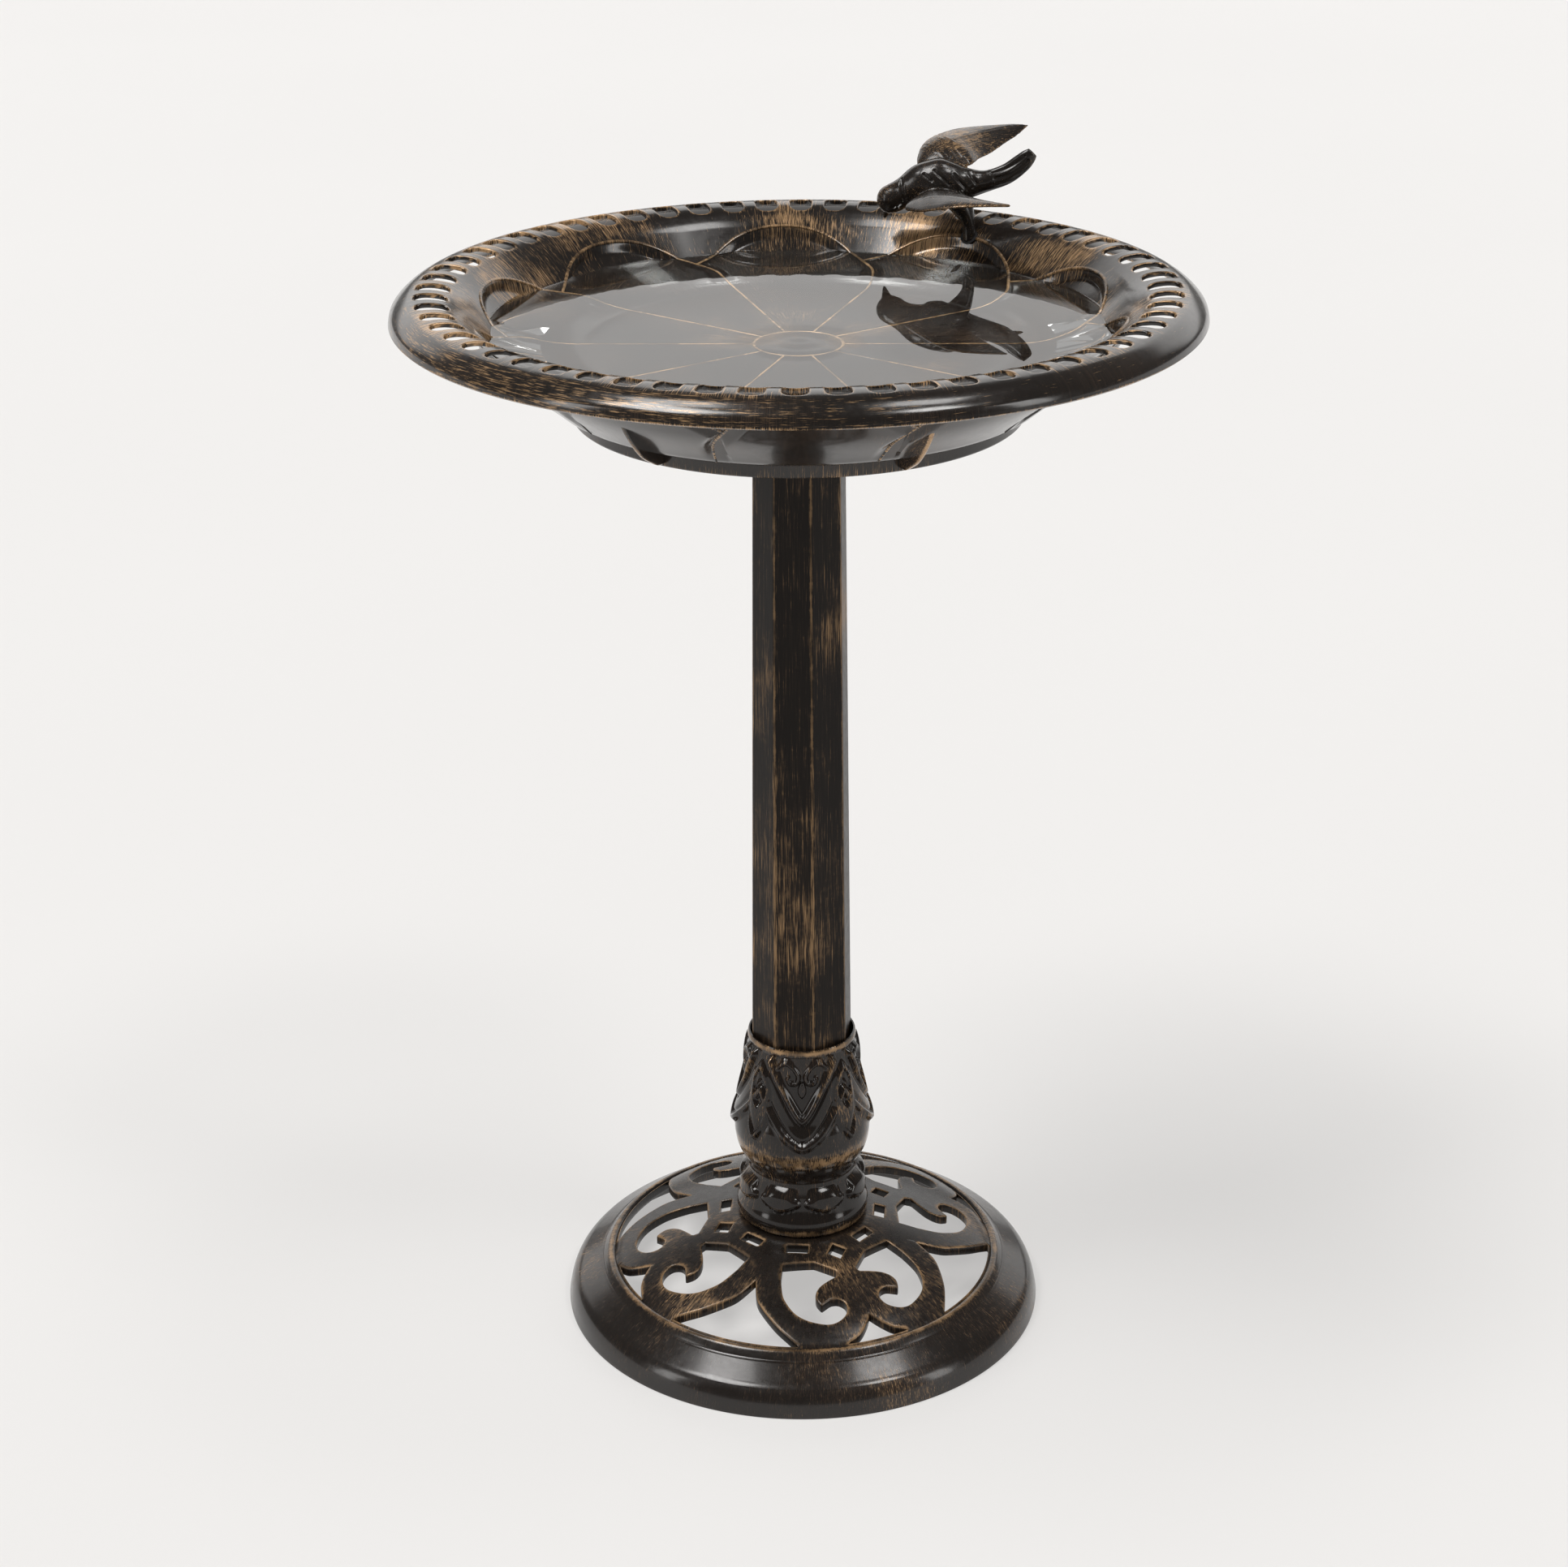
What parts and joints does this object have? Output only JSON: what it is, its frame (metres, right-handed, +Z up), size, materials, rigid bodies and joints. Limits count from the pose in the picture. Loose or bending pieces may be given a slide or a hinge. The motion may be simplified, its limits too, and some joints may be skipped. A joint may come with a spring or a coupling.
{
  "type": "bird bath",
  "caption": "Pedestal bird bath with a slotted-rim basin, a swallow on its edge, an eight-sided column in a vase collar and a round scroll openwork base.",
  "frame": {"origin": "on the ground, on the column's axis", "axes": "+Z up along the column; +Y away from the viewer; the bird's foot is 56 degrees round from +X towards +Y"},
  "size_m": [0.508, 0.508, 0.7761],
  "materials": {
    "bronze_base": "moulded plastic, near-black brown with dry-brushed bronze edges, satin",
    "bronze_collar": "moulded plastic, near-black brown with dry-brushed bronze high spots, glossy",
    "bronze_column": "moulded plastic, near-black brown with upright dry-brushed bronze streaks, satin",
    "bronze_basin": "moulded plastic, near-black brown with dry-brushed bronze streaks, glossy",
    "bronze_bird": "moulded plastic, near-black brown with dry-brushed bronze feather edges, glossy",
    "zinc_steel": "zinc-plated",
    "black_rubber": "matte"
  },
  "bodies": {
    "stand": {"base": "bronze_base", "collar": "bronze_collar", "column": "bronze_column", "top_cap": "bronze_column", "tie_rod": "zinc_steel", "rod_nuts": "zinc_steel", "rod_washers": "zinc_steel"},
    "seat": {"seat_washer": "black_rubber"},
    "basin": {"basin": "bronze_basin", "bird": "bronze_bird", "bird_screw": "zinc_steel", "bird_washer": "zinc_steel", "bird_seal": "black_rubber"}
  },
  "joints": [
    {"name": "basin_turn", "type": "hinge", "parent": "stand", "child": "seat", "pos_m": [0, 0, 0.6332], "axis": [0, 0, 1], "continuous": true},
    {"name": "basin_lift", "type": "slide", "parent": "seat", "child": "basin", "axis": [0, 0, 1], "range_m": [0, 0.08]}
  ]
}
